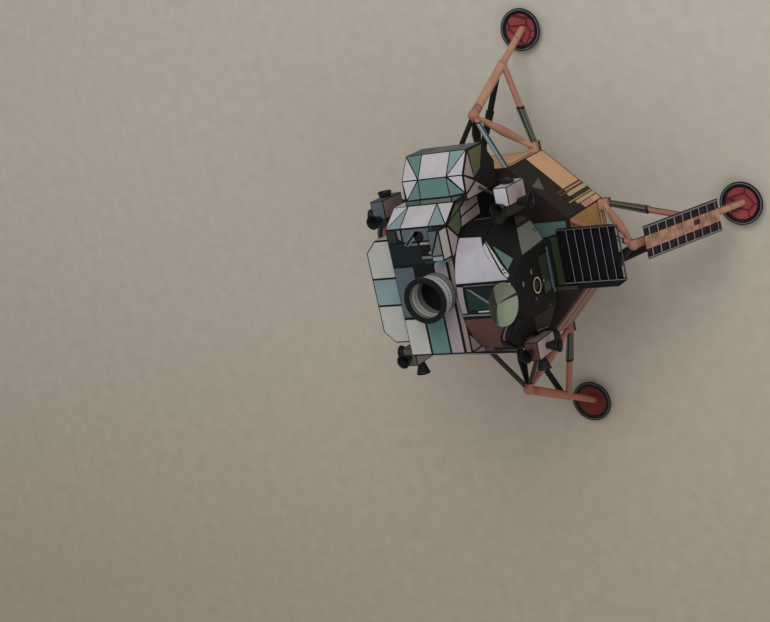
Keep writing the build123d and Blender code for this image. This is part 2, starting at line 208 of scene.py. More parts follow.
def wash(tree, colour, name, share=0.30):
    """A second tone of the print that comes and goes softly."""
    drift = add(tree, "TexNoise", {"Vector": place_on(tree), "Scale": 0.09, "Detail": 2.0}).outputs[0]
    amount = add(tree, "MapRange", {"Value": drift, "From Min": 0.45, "From Max": 0.75, "To Max": share})
    return mixed(tree, amount.outputs[0], colour, palette[name])


def printed(name):
    """One printed colour, made once."""
    if name not in cards:
        material, tree = new_material("card_" + name)
        base = add(tree, "RGB")
        base.outputs[0].default_value = (*palette[name], 1)
        colour = base.outputs[0]
        if name in washes:
            colour = wash(tree, colour, washes[name])
        card_finish(tree, colour)
        cards[name] = material
    return cards[name]


def finish_piece(bm, name, materials):
    """The mesh becomes a piece that rides on the lander."""
    mesh = bpy.data.meshes.new(name)
    bm.to_mesh(mesh)
    bm.free()
    for material in materials:
        mesh.materials.append(material)
    piece = bpy.data.objects.new(name, mesh)
    bpy.context.scene.collection.objects.link(piece)
    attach(piece, "root")


def draw_outline(bm, faces, width):
    """A printed line just inside the edges of each face, in the first of the piece's colours."""
    rims = bmesh.ops.inset_individual(bm, faces=faces, thickness=width * MM, use_even_offset=True)
    for face in rims["faces"]:
        face.material_index = 0


def lay_panels(panels, place, outline):
    """A mesh of flat panels, each a colour and its corners; every panel gets a printed outline."""
    names = ["ink"] + sorted({colour for colour, corners in panels} - {"ink"})
    bm = bmesh.new()
    for colour, corners in panels:
        face = bm.faces.new([bm.verts.new(place(x, y) * MM) for x, y in corners])
        face.material_index = names.index(colour)
        face.normal_update()
        if outline:
            draw_outline(bm, [face], outline)
    return bm, [printed(colour) for colour in names]


def second_layer(bm):
    """A copy of every panel over the first, joined to it by side walls. Returns the copy's corners."""
    layer = bmesh.ops.extrude_face_region(bm, geom=bm.faces[:], use_keep_orig=True)["geom"]
    return [item for item in layer if isinstance(item, bmesh.types.BMVert)]


def sheet(name, origin, across, up, panels, slot="pale_card", outline=half_outline, lift=0.0):
    """Printed panels on a flat face. Origin in millimetres; corners are measured along across and up;
    a panel has the thickness of the card, and starts at a lift over the face."""
    across, up = Vector(across).normalized(), Vector(up).normalized()
    normal = across.cross(up)
    start = Vector(origin) + normal * lift
    bm, materials = lay_panels(panels, lambda x, y: start + across * x + up * y, outline)
    bmesh.ops.translate(bm, verts=second_layer(bm), vec=normal * sheet_thickness * MM)
    bmesh.ops.recalc_face_normals(bm, faces=bm.faces[:])
    finish_piece(bm, name, materials)


# Floor, light and camera
def lamp(name, place, aim, size, power):
    light = bpy.data.lights.new(name, "AREA")
    light.size = size
    light.energy = power
    lamp_object = bpy.data.objects.new(name, light)
    lamp_object.location = place
    lamp_object.rotation_euler = (Vector(aim) - Vector(place)).to_track_quat("-Z", "Y").to_euler()
    bpy.context.scene.collection.objects.link(lamp_object)


def stage():
    bm = bmesh.new()
    bmesh.ops.create_grid(bm, x_segments=1, y_segments=1, size=3.0)
    mesh = bpy.data.meshes.new("floor")
    bm.to_mesh(mesh)
    bm.free()
    floor = bpy.data.objects.new("floor", mesh)
    bpy.context.scene.collection.objects.link(floor)
    material, tree = new_material("floor_card")
    # The floor gets lighter towards port: painted light falling from the port side.
    across = add(tree, "SeparateXYZ", {0: place_on(tree)}).outputs["X"]
    share = add(tree, "MapRange", {"Value": across, "From Min": -190.0, "From Max": 70.0}).outputs[0]
    card_finish(tree, mixed(tree, share, (0.415, 0.345, 0.265), (0.495, 0.445, 0.375)), 0.8, 0.05)
    mesh.materials.append(material)

    world = bpy.data.worlds.new("room")
    world.use_nodes = True
    background = world.node_tree.nodes["Background"]
    background.inputs["Color"].default_value = (0.95, 0.97, 1.0, 1)
    background.inputs["Strength"].default_value = 0.46
    bpy.context.scene.world = world
    lamp("key_port", (0.55, -0.25, 0.75), (0, 0, 0.06), 0.5, 4.0)
    lamp("fill_front", (-0.35, -0.75, 0.55), (0, 0, 0.06), 0.7, 1.6)


def camera():
    lens = bpy.data.cameras.new("camera")
    lens.lens = camera_lens
    lens.sensor_width = 36
    lens.clip_start = 0.01
    eye = bpy.data.objects.new("camera", lens)
    turn = (camera_aim - camera_place).to_track_quat("-Z", "Y") @ Quaternion((0, 0, 1), camera_roll)
    eye.location = camera_place
    eye.rotation_mode = "QUATERNION"
    eye.rotation_quaternion = turn
    bpy.context.scene.collection.objects.link(eye)
    bpy.context.scene.camera = eye
    bpy.context.scene.view_settings.view_transform = "Standard"


# Printed panels on the folded card faces
def row(name, inner, outer, panels):
    """Panels on a face that runs front to back. Inner and outer are the x and height of its two edges;
    each corner is a place front to back, in millimetres, and a share of the way from inner to outer."""
    (x0, z0), (x1, z1) = inner, outer
    hand = 1 if x0 > 0 else -1
    width = sqrt((x1 - x0) ** 2 + (z1 - z0) ** 2)
    turned = [(colour, [(-hand * y, share * width) for y, share in corners]) for colour, corners in panels]
    sheet(name, (x0, 0, z0), (0, -hand, 0), (x1 - x0, 0, z1 - z0), turned)


def upright(name, y, panels, facing=-1, **options):
    """Panels on an upright face that looks forward or aft; corners are x and height over the deck."""
    turned = [(colour, [(-facing * x, z) for x, z in corners]) for colour, corners in panels]
    sheet(name, (0, y, deck_z), (-facing, 0, 0), (0, 0, 1), turned, **options)


def oval(colour, x, y, half_x, half_y, steps=16):
    """An oval panel round its middle."""
    turns = [step * 2 * pi / steps for step in range(steps)]
    return (colour, [(x + half_x * cos(turn), y + half_y * sin(turn)) for turn in turns])


def line(colour, x0, y0, x1, y1, width):
    """A straight printed line between two places."""
    side = Vector((y0 - y1, x1 - x0)).normalized() * width / 2
    return (colour, [(x0 + side.x, y0 + side.y), (x0 - side.x, y0 - side.y),
                     (x1 - side.x, y1 - side.y), (x1 + side.x, y1 + side.y)])


def strip(colour, x0, y0, x1, y1):
    """A rectangular panel."""
    return (colour, [(x0, y0), (x1, y0), (x1, y1), (x0, y1)])


def triangle_row(front, back, front_inner, back_inner, colours):
    """A middle panel with two triangles at each end, as shares of the face from its inner edge."""
    middle, front_teal, front_white, back_teal, back_white = colours
    return [
        (middle, [(back_inner, 1), (front_inner, 1), (front_inner, 0), (back_inner, 0)]),
        (front_teal, [(front_inner, 1), (front, 1), (front_inner, 0)]),
        (front_white, [(front, 1), (front, 0), (front_inner, 0)]),
        (back_teal, [(back, 1), (back_inner, 1), (back_inner, 0)]),
        (back_white, [(back, 1), (back_inner, 0), (back, 0)]),
    ]


def flipped(panels):
    """The same panels with inner and outer edges changed over."""
    return [(colour, [(y, 1 - share) for y, share in corners]) for colour, corners in panels]


# Folds of the upper stage: places to the side, and heights over the deck
crown_x, crown_z, brow_z, side_low_z = 44.5, 34.0, 27.0, 14.0
roof_x, shoulder_z, shoulder_low_z = 27.5, 34.7, 16.0
starboard_x, starboard_bay_x, starboard_brow_z = 26.0, 38.5, 8.0


def over(x, z):
    """A fold's place to the side, with its height over the floor."""
    return (x, deck_z + z)


def port_bay_panels():
    front, back = bay_front_y + 0.2, bay_back_y - 0.2
    brow = triangle_row(front, back, -6.4, 6.8, ("white", "pale_teal", "white", "teal", "white"))
    row("bay_brow_panels", over(crown_x, crown_z), over(bay_x, brow_z), brow)
    row("bay_crown_panels", over(mid_x, shoulder_z), over(crown_x, crown_z), [
        ("white", [(back, 1), (6.8, 1), (13.5, 0.24)]),
        ("teal", [(6.8, 1), (13.7, 0.22), (7.0, 0.24)]),
        ("teal", [(6.8, 1), (-6.3, 1), (-6.6, 0.24), (7.0, 0.24)]),
        ("teal", [(-6.3, 1), (-6.6, 0.24), (-13.8, 0.30)]),
        ("white", [(-6.9, 1), (front, 1), (front, 0.32)]),
        ("dull_teal", [(back, 0.21), (7.0, 0.21), (8.0, 0.02), (back, 0.02)]),
        ("slate", [(7.0, 0.21), (-7.0, 0.21), (-7.0, 0.02), (8.0, 0.02)]),
        ("dull_teal", [(-7.2, 0.21), (front + 0.4, 0.25), (-8.2, 0.02), (-7.0, 0.02)]),
    ])
    row("bay_wall_panels", over(bay_x, brow_z), over(bay_x, side_low_z), [
        ("dull_teal", [(back, 0), (7.8, 0), (5.0, 1), (back, 1)]),
        ("slate", [(7.8, 0), (-6.8, 0), (-6.8, 1), (5.0, 1)]),
        ("blue_slate", [(-6.8, 0), (front, 0), (front, 1), (-6.8, 1)]),
    ])
    end = [
        ("olive", [(52.9, 26.6), (52.9, 14.4), (43.8, 19.4), (41.2, 25.7)]),
        ("rose_grey", [(52.5, 27.2), (44.4, 33.7), (41.2, 25.7)]),
        ("rose_grey", [(44.2, 33.7), (36.9, 34.3), (40.3, 25.5)]),
        ("rose_grey", [(36.6, 34.3), (34.5, 34.4), (34.5, 16.0), (40.0, 25.0)]),
    ]
    upright("bay_front_panels", bay_front_y, end, outline=0.3)
    upright("bay_back_panels", bay_back_y, end, facing=1, outline=0.3)


def midsection_panels():
    front, back = mid_front_y + 0.1, mid_back_y - 0.1
    row("port_shoulder_panels", over(roof_x, mid_roof_z - deck_z), over(mid_x, shoulder_z), [
        ("white", [(13.4, 1), (-0.1, 1), (0.2, 0), (13.4, 0)]),
        ("pale_teal", [(-0.1, 1), (0.2, 0), (front, 0)]),
        ("white", [(-0.1, 1), (front, 1), (front, 0)]),
        ("pale_teal", [(13.4, 1), (back, 0), (13.4, 0)]),
        ("white", [(back, 1), (13.4, 1), (back, 0)]),
    ])
    row("port_side_panels", over(mid_x, shoulder_z), over(mid_x, shoulder_low_z), [
        strip("white", back, 0, bay_back_y + 0.3, 1),
        strip("rose_grey", bay_front_y + 0.3, 0, front, 1),
    ])
    upright("mid_front_port_panels", mid_front_y, [
        ("olive", [(33.7, 34.1), (33.9, 24.5), (31.0, 31.8), (27.5, 43.0)]),
        ("grey_moss", [(27.3, 43.7), (31.0, 31.8), (23.3, 33.5), (20.8, 37.0)]),
        ("rose_grey", [(33.9, 24.2), (33.9, 16.0), (29.4, 16.0), (27.4, 32.0), (30.8, 31.5)]),
        ("rose_grey", [(29.2, 16.0), (24.5, 16.0), (23.2, 33.3), (27.2, 32.1)]),
        ("rose_grey", [(27.0, 44.3), (20.6, 37.2), (15.0, 42.0), (14.0, 44.3)]),
    ], outline=0.3)
    upright("mid_front_starboard_panels", mid_front_y, [
        ("pink_beige", [(-25.8, 44.3), (-25.8, 34.0), (-29.0, 34.0)]),
        ("pink_beige", [(-25.6, 44.3), (-25.6, 35.5), (-18.0, 44.3)]),
        ("blue_slate", [(-25.8, 33.8), (-29.2, 33.8), (-37.8, 8.6), (-25.8, 8.6)]),
    ])
    upright("mid_back_panels", mid_back_y, [
        strip("white", 22.3, 16.0, 33.9, 34.2),
        ("teal", [(22.3, 44.2), (27.3, 44.2), (33.8, 34.6), (22.3, 34.6)]),
        strip("olive", 22.3, 9.5, 33.9, 15.6),
        strip("white", -25.8, 16.0, -22.3, 44.2),
        strip("pale_teal", -21.8, 38.6, 21.8, 44.2),
        strip("olive", -25.8, 0.4, -22.3, 15.6),
    ], facing=1)


def roof_panels():
    across, up = (1, 0, 0), (0, 1, 0)
    front, back = mid_front_y + 0.1, mid_back_y - 0.1
    sheet("roof_cells", (0, 0, mid_roof_z), across, up, [
        ("blue_slate", [(27.2, 13.0), (27.2, -0.1), (21.8, -0.1), (21.8, 13.2)]),
        ("blue_slate", [(27.2, -0.3), (27.2, -2.3), (21.8, -2.3), (21.8, -0.3)]),
        ("mid_grey", [(27.2, 15.5), (27.2, 13.4), (22.2, 13.6), (23.3, 15.3)]),
        ("deep_olive", [(27.2, back), (27.2, 15.8), (21.8, 15.8), (21.8, back)]),
        strip("sea_black", 12.4, 5.6, 21.4, back),
        ("deep_teal", [(14.2, 5.2), (14.2, 0.3), (11.9, 1.2), (11.9, 5.2)]),
        ("lilac", [(11.4, 1.4), (12.4, -4.6), (-25.7, -4.6), (-25.7, 1.4)]),
        ("pink_beige", [(13.4, -5.4), (13.4, front), (-25.7, front), (-25.7, -5.4)]),
        strip("teal", -25.7, 1.8, -10.4, 10.4),
        strip("blue_slate", -9.8, 10.9, 11.6, back),
        strip("cream_white", -25.7, 10.9, -10.4, back),
    ], outline=0.26)
    sheet("roof_prints", (0, 0, mid_roof_z), across, up, [
        oval("ink", 23.7, 5.4, 2.3, 2.3),
        ("deep_teal", [(26.2, 6.9), (25.8, 5.4), (20.3, 11.2), (20.9, 12.4)]),
        line("pale_teal", 26.0, 7.3, 20.6, 12.5, 0.55),
        line("pale_teal", 25.6, 5.3, 20.2, 11.4, 0.55),
        strip("ink", 21.3, -0.4, 22.0, 6.2),
        strip("lilac", 20.3, 0.1, 21.3, 5.5),
        strip("mid_grey", 20.4, 6.6, 21.1, 10.0),
        ("lilac", [(18.4, 0.2), (15.9, 0.9), (16.7, 2.4)]),
        strip("mid_grey", 14.4, 1.1, 15.5, 5.7),
        ("pale_teal", [(12.2, 0.7), (14.0, -2.3), (14.0, -7.6), (13.2, -7.2), (11.7, -3.4), (11.2, 0.9)]),
    ], outline=0.0, lift=sheet_thickness)
    box_low, box_high = (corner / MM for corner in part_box("roof_box"))
    x0, x1, y0, y1 = box_low.x + 0.45, box_high.x - 0.45, box_low.y, box_high.y
    sheet("roof_box_top", (0, 0, box_high.z), across, up, [
        ("grey_green", [(x1 - 0.4, y0 + 0.1), (x0 + 2.2, y0 + 0.1), (x0 + 2.2, y1 - 0.1)]),
        ("blue_slate", [(x1, y0 + 0.5), (x1, y1 - 0.1), (x0 + 2.8, y1 - 0.1)]),
        strip("pale_teal", x0, y0 + 0.1, x0 + 2.0, y1 - 0.1),
    ], outline=0.2)
    tall = box_high.z - box_low.z
    sheet("roof_box_front", (0, y0, box_low.z), across, (0, 0, 1), [
        ("cream_white", [(x0 + 0.2, 0.1), (x1 - 0.1, 0.1), (x1 - 0.3, tall - 0.1), (x0 + 0.3, tall - 0.1)])],
        outline=0.22)
    sheet("roof_box_back", (0, y1, box_low.z), (-1, 0, 0), (0, 0, 1), [
        strip("pale_teal", 0.3 - x1, 0.1, -x0 - 0.3, tall - 0.1)])


def starboard_bay_panels():
    """The sloping side has two rows of panels, parted a little over its middle."""
    front, back = mid_front_y + 0.1, bay_back_y - 0.2
    low = starboard_brow_z
    top = mid_roof_z - deck_z
    parting = 0.42
    fold = over(-starboard_x + (starboard_x - starboard_bay_x) * parting, top + (low - top) * parting)
    upper = triangle_row(front, back, -3.0, 9.5, ("white", "pale_teal", "white", "teal", "white"))
    lower = flipped(triangle_row(front, back, -3.0, 9.5, ("teal", "teal", "white", "teal", "white")))
    row("starboard_bay_upper_panels", over(-starboard_x, top), fold, upper)
    row("starboard_bay_lower_panels", fold, over(-starboard_bay_x, low), lower)
    upright("starboard_bay_back_panels", bay_back_y, [
        ("pink_beige", [(-26.2, 43.0), (-26.2, 26.0), (-32.0, 26.0)]),
        ("olive", [(-26.2, 25.6), (-32.2, 25.6), (-37.8, 8.6), (-26.2, 8.6)]),
    ], facing=1)
    row("starboard_side_panels", over(-starboard_x, top), over(-starboard_x, 10.0), [
        strip("white", mid_back_y - 0.1, 0, bay_back_y + 0.3, 1),
    ])


def aft_bay_panels():
    """Print on the back, the cut corners, the sides and the top of the aft bay."""
    bay_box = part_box("aft_bay")
    half, back = bay_box[1].x / MM, bay_box[1].y / MM
    low, high = bay_box[0].z / MM - deck_z, bay_box[1].z / MM - deck_z
    chamfer = 5.0
    wide = half - chamfer - 0.2
    first, dark_top, pale_low, top = low + 0.3, low + 11.6, low + 12.0, high - 0.3
    upright("aft_bay_back_panels", back, [
        strip("white", -wide, pale_low, -4.0, top),
        strip("white", 4.0, pale_low, wide, top),
        ("pale_teal", [(-3.6, top), (3.6, top), (0.0, pale_low)]),
        ("white", [(-3.8, high - 0.9), (-3.8, pale_low), (-0.4, pale_low)]),
        ("white", [(3.8, high - 0.9), (3.8, pale_low), (0.4, pale_low)]),
        strip("teal", -wide, low + 6.0, wide, dark_top),
        strip("olive", -wide, first, wide, low + 5.6),
    ], facing=1)
    slope, depth = chamfer * sqrt(2), back - chamfer - mid_back_y
    for hand, side in hands:
        start = (half, back - chamfer) if hand > 0 else (chamfer - half, back)
        sheet("aft_bay_corner_" + side, (*start, deck_z), (-1, hand, 0), (0, 0, 1),
              [strip("pink_beige", 0.2, pale_low, slope - 0.2, top),
               strip("blue_slate", 0.2, first, slope - 0.2, dark_top)])
        begin = mid_back_y if hand > 0 else back - chamfer
        sheet("aft_bay_side_" + side, (hand * half, begin, deck_z), (0, hand, 0), (0, 0, 1),
              [strip("white", 0.3, pale_low, depth - 0.2, top),
               strip("teal", 0.3, first, depth - 0.2, dark_top)])
    near, far, side_x = mid_back_y + 0.3, back - 0.3, half - 0.3
    sheet("aft_bay_top_panels", (0, 0, deck_z + high), (1, 0, 0), (0, 1, 0), [
        ("cream_white", [(-side_x, near), (-6.0, near), (-6.0, far), (chamfer - half, far),
                         (-side_x, back - chamfer)]),
        strip("pale_teal", -5.6, near, 5.6, far),
        ("cream_white", [(6.0, near), (side_x, near), (side_x, back - chamfer),
                         (half - chamfer, far), (6.0, far)]),
    ])


# Cabin
barrel_radius = 25.0         # the oval's mean radius


def on_barrel(angle, y, lift=0.0):
    """A place on the cabin's oval skin: degrees from the top towards port, and front to back."""
    turn = radians(angle)
    return Vector((cabin_x + (cabin_half_width + lift) * sin(turn), y,
                   cabin_top_z - cabin_half_height + (cabin_half_height + lift) * cos(turn)))


def barrel_sheet(name, panels, lift=0.0, outline=half_outline):
    """Printed panels wrapped over the cabin. They are drawn flat, with angle as arc length, cut into
    narrow bands and then laid on the oval."""
    bm, materials = lay_panels(
        panels, lambda angle, y: Vector((radians(angle) * barrel_radius, y, 0)), outline)
    for face in bm.faces:
        face.normal_update()
    bmesh.ops.reverse_faces(bm, faces=[face for face in bm.faces if face.normal.z < 0])
    for angle in range(-100, 104, 4):
        cut = (radians(angle) * barrel_radius * MM, 0, 0)
        whole = bm.verts[:] + bm.edges[:] + bm.faces[:]
        bmesh.ops.bisect_plane(bm, geom=whole, plane_co=cut, plane_no=(1, 0, 0))
    tops = set(second_layer(bm))
    for vert in bm.verts:
        angle = vert.co.x / MM / barrel_radius * 180 / pi
        height = lift + (sheet_thickness if vert in tops else 0)
        vert.co = on_barrel(angle, vert.co.y / MM, height) * MM
    bmesh.ops.recalc_face_normals(bm, faces=bm.faces[:])
    finish_piece(bm, name, materials)


def barrel_panels():
    """Print on the cabin's oval skin, with the dark recess at its top."""
    back = cabin_barrel[1].y / MM - 0.15
    barrel_sheet("cabin_port_panel", [
        ("lilac_white", [(57, back), (55.8, -18.1), (49, -19.2), (44, -20.2), (39, -21.4), (34, -23.0),
                         (29, -24.8), (24, -27.0), (19, -29.4), (14.6, -31.5), (14.0, back)]),
    ], outline=0.0)
    barrel_sheet("cabin_starboard_panel", [
        ("umber", [(-17.7, back), (-17.7, -29.6), (-23, -27.0), (-28.6, -24.7), (-34, -22.7), (-39, -21.1),
                   (-44, -19.9), (-49, -18.9), (-54, -18.3), (-62, -17.3), (-62, back)]),
        ("pink_beige", [(-64.2, back), (-64.2, -12.5), (-72.0, -10.0), (-78.0, back)]),
    ])
    barrel_sheet("cabin_recess", [
        ("lilac", [(11.7, back), (11.2, -11.2), (-12.5, -10.9), (-12.8, back)]),
        ("deep_teal", [(9.0, -12.0), (-9.9, -11.9), (-9.9, -25.4)]),
        ("sea_black", [(9.9, -12.4), (9.6, -27.6), (-9.4, -27.6), (-9.6, -26.4)]),
        ("moss", [(10.0, -28.4), (10.0, -31.7), (-6.0, -31.7), (-6.0, -28.4)]),
    ], outline=0.2)
    barrel_sheet("cabin_prints", [
        ("dim_grey", [(12.1, -11.6), (12.1, -26.0), (10.9, -26.0), (10.9, -11.4)]),
        ("mid_grey", [(9.3, -12.4), (8.0, -14.5), (-9.9, -26.6), (-9.9, -24.9)]),
        ("white", [(-10.7, -16.0), (-11.9, -16.0), (-11.7, -27.4), (-10.5, -27.4)]),
        ("mid_grey", [(-13.4, back), (-14.8, back), (-15.3, -28.4), (-13.9, -28.4)]),
        ("white", [(12.0, -27.4), (10.8, -27.4), (10.8, -32.5), (11.8, -32.5)]),
        ("white", [(10.8, -32.0), (10.8, -32.6), (-4.5, -32.6), (-4.5, -32.1)]),
        ("dim_grey", [(84.6, -10.6), (86.4, -10.6), (89.8, -17.4), (88.2, -17.4)]),
    ], lift=sheet_thickness, outline=0.0)


def facet_panels():
    """Pale folds over the two window facets, which lean back and are swept to the sides."""
    sweep, tilt, facet_half = radians(53), radians(26), 5.0
    for hand, side in hands:
        normal = Vector((hand * sin(sweep) * cos(tilt), -cos(sweep) * cos(tilt), sin(tilt)))
        outboard = Vector((cos(sweep), hand * sin(sweep), 0))
        origin = Vector((cabin_x + hand * facet_half, face_y, cabin_top_z))
        panels = [
            ("lilac_white", [(21.6, -10.4), (20.2, -8.9), (18.5, -7.4), (16.4, -5.9), (14.0, -4.6),
                             (11.4, -3.4), (8.6, -2.4), (6.0, -1.7), (9.2, -3.5), (11.9, -5.1),
                             (15.2, -7.1), (18.6, -9.3)]),
            ("cream_white", [(20.2, -10.9), (14.3, -8.2), (8.8, -5.4), (3.3, -3.3), (2.8, -1.9), (4.0, -1.6),
                             (9.4, -4.5), (14.8, -7.6)]),
        ]
        if hand < 0:
            fold = [(-11.3, -3.9), (-14.0, -5.1), (-16.3, -6.5), (-18.3, -8.0), (-20.0, -9.7), (-21.3, -11.4)]
            panels = [("pink_beige", fold + [(x + 0.5, y - 0.4) for x, y in reversed(fold)])]
        up = normal.cross(outboard)
        sheet("window_facet_" + side, origin, outboard, up, panels, outline=0.0)
        if hand > 0:
            sheet("facet_marks", origin, outboard, up, [
                oval("ink", 6.4, -3.7, 0.55, 0.3, 8), oval("ink", 5.0, -3.0, 0.5, 0.3, 8)],
                outline=0.0, lift=sheet_thickness)


def cheek_panels():
    """Print on the two lower facets, each folded back from the front face."""
    sweep, face_half = radians(26), 12.5
    upwards = (0, 0, 1)
    for hand, side in hands:
        origin = (cabin_x + hand * face_half, face_y, deck_z)
        outboard = Vector((hand * cos(sweep), sin(sweep), 0))
        panels = [("grey_green", [(0.3, 34.0), (10.7, 25.8), (10.8, 13.2), (1.2, 13.1)]),
                  ("bark", [(11.5, 24.8), (15.3, 22.4), (13.8, 16.4), (11.7, 13.6)])]
        if hand < 0:
            outboard = -outboard
            panels = [("brown_black", [(-0.3, 34.0), (-10.8, 26.0), (-10.8, 13.4), (-0.9, 13.4)]),
                      ("dim_grey", [(-11.4, 25.2), (-15.0, 22.6), (-11.4, 20.0)])]
        sheet("cheek_" + side, origin, outboard, upwards, panels, outline=0.2)
        if hand > 0:
            sheet("cheek_mark", origin, outboard, upwards, [
                oval("umber", 6.4, 14.9, 0.75, 1.2, 12)], outline=0.0, lift=sheet_thickness)
            sheet("cheek_mark_middle", origin, outboard, upwards, [
                oval("grey_green", 6.4, 14.9, 0.35, 0.75, 12)], outline=0.0, lift=2 * sheet_thickness)


def front_prints():
    """Small marks on the front face, the hatch and the inside of the ring."""
    upright("face_marks", face_y, [
        oval("mid_grey", 1.7, 29.3, 1.2, 0.5, 10), oval("mid_grey", -0.9, 37.5, 1.2, 0.6, 10),
        oval("mid_grey", -5.7, 22.0, 0.6, 0.5, 10), oval("dim_grey", -9.4, 29.3, 0.7, 0.5, 10),
        oval("dim_grey", -15.3, 18.9, 0.6, 0.4, 10),
        ("dim_grey", [(-21.6, 33.4), (-23.0, 24.0), (-22.6, 24.0), (-21.2, 33.4)]),
    ], slot="dark_card", outline=0.0)
    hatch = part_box("forward_hatch")
    upright("hatch_print", hatch[0].y / MM, [
        strip("deep_olive", -9.8, 15.9, 5.8, 22.1),
        strip("blue_slate", -9.8, 14.0, 5.8, 15.3),
    ], slot="dark_card", outline=0.2)
    upright("hatch_corner", hatch[0].y / MM, [
        strip("moss", -9.2, 16.6, -5.4, 21.2), oval("lilac", -4.3, 21.3, 0.5, 0.5, 8),
    ], slot="dark_card", outline=0.0, lift=sheet_thickness)
    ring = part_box("tracking_ring")
    middle = (ring[0] + ring[1]) / 2 / MM
    inside = oval("bark", middle.x, middle.z - deck_z, 2.1, 2.1, 24)
    upright("ring_inside", face_y, [inside], slot="dark_card", outline=0.5)


# Lower stage
def layers(half, *tones):
    """Bands over the whole width of a wall, each a colour with its lower and upper edge."""
    return [strip(colour, -half, low, half, high) for colour, low, high in tones]


def wall_panels():
    """Bands of colour on the eight walls. Each wall has its direction in degrees and its panels, whose
    corners are a place from the middle of the wall and a depth under the deck."""
    corner_half, margin = 15.1, 0.2
    straight, slant = corner_half - margin, 16.6 - margin
    low, top = body_low_z - deck_z + margin, -1.0
    plain = layers(slant, ("brown_black", -17.5, top), ("orange", low, -17.9))
    walls = [
        ("port", 0, [strip("orange", -12.4, low, straight, top), strip("tan", -straight, low, -12.8, top)]),
        ("front", 270, layers(straight, ("coral", -3.0, top), ("gold", -29.0, -3.2),
                              ("cream", -31.5, -29.2), ("coral", low, -31.7))),
        ("starboard", 180, [strip("orange", -straight, low, 12.4, top),
                            strip("tan", 12.8, low, straight, top)]),
        ("aft", 90, layers(straight, ("gold", -17.5, top), ("umber", low, -17.9))),
        ("port_front", 315, layers(slant, ("brown_black", -17.5, top), ("orange", low, -17.7))),
        ("starboard_front", 225, layers(slant, ("bark", -8.0, top), ("ladder_tan", -17.0, -8.2),
                                        ("umber", -18.4, -17.2), ("pink_beige", -27.0, -18.6),
                                        ("ladder_tan", low, -27.3))),
        ("port_aft", 45, plain),
        ("starboard_aft", 135, plain),
    ]
    for side, direction, panels in walls:
        angle = radians(direction)
        normal = Vector((cos(angle), sin(angle), 0))
        distance = body_half if direction % 90 == 0 else (body_half + corner_half) / sqrt(2)
        across = Vector((0, 0, 1)).cross(normal)
        place = Vector((0, 0, deck_z)) + normal * distance
        sheet("wall_" + side, place, across, (0, 0, 1), panels, slot="walls", outline=0.16)
        if side == "port_front":
            sheet("wall_stripes", place, across, (0, 0, 1), [
                strip("umber", -4.9, low, -4.1, -11.0), strip("umber", -6.5, low, -5.6, -10.6),
                strip("cream", -8.5, low, -6.8, -16.4), strip("bark", -10.5, low, -8.6, -17.4),
                strip("gold", -11.2, low, -10.6, -11.5), strip("bark", -11.6, low, -11.3, -16.8),
                strip("cream", -13.3, low, -11.7, -16.0), strip("umber", -13.7, low, -13.4, -16.8),
                strip("coral", -slant, -27.0, -13.8, -17.6),
                ("grey_moss", [(5.7, -11.3), (3.7, -1.1), (-0.1, -6.2)]),
            ], slot="walls", outline=0.0, lift=sheet_thickness)


def deck_panels():
    sheet("deck_front_panels", (0, 0, deck_z), (1, 0, 0), (0, 1, 0), [
        ("window_teal", [(14.6, -37.4), (9.9, -37.4), (9.2, -33.0), (7.2, -21.0), (14.6, -21.0)]),
        ("moss", [(9.5, -37.4), (-12.6, -37.4), (-12.6, -28.6), (8.0, -28.6)]),
        ("deep_teal", [(7.8, -28.2), (-12.6, -28.2), (-12.6, -21.0), (6.8, -21.0)]),
        strip("moss", -15.0, -37.4, -13.0, -21.0),
    ], slot="deck", outline=0.2)


def porch_trim():
    """Thin pale edges printed round the porch."""
    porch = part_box("porch")
    top, low_y, high_y = porch[1].z / MM, porch[0].y / MM, porch[1].y / MM
    half = porch[1].x / MM
    sheet("porch_rim", (0, 0, top), (1, 0, 0), (0, 1, 0), [
        line("mid_grey", -half + 0.25, low_y + 0.2, -half + 0.25, high_y - 0.2, 0.3),
        line("dim_grey", half - 0.25, low_y + 0.2, half - 0.25, high_y - 0.2, 0.3),
        line("dim_grey", half - 0.4, low_y + 0.25, -half + 0.4, low_y + 0.25, 0.3),
    ], slot="deck", outline=0.0)


port_bay_panels()
midsection_panels()
roof_panels()
starboard_bay_panels()
aft_bay_panels()
barrel_panels()
facet_panels()
cheek_panels()
front_prints()
wall_panels()
deck_panels()
porch_trim()


# Printing on the round and small pieces
def parts_of(tree, vector):
    """The X, Y and Z of a vector."""
    split = add(tree, "SeparateXYZ", {0: vector})
    return split.outputs["X"], split.outputs["Y"], split.outputs["Z"]


def distance_out(tree):
    """Millimetres from the middle of the lander, seen from above."""
    x, y, _ = parts_of(tree, place_on(tree))
    return sums(tree, "SQRT", sums(tree, "MULTIPLY_ADD", y, y, sums(tree, "MULTIPLY", x, x)))


def height_over_floor(tree):
    return parts_of(tree, place_on(tree))[2]


def between_values(tree, value, low, high):
    """One where a value lies between two others, and zero elsewhere."""
    over_low = sums(tree, "GREATER_THAN", value, low)
    return sums(tree, "MULTIPLY", over_low, sums(tree, "LESS_THAN", value, high))


def skin_direction(tree):
    return parts_of(tree, add(tree, "TexCoord").outputs["Normal"])


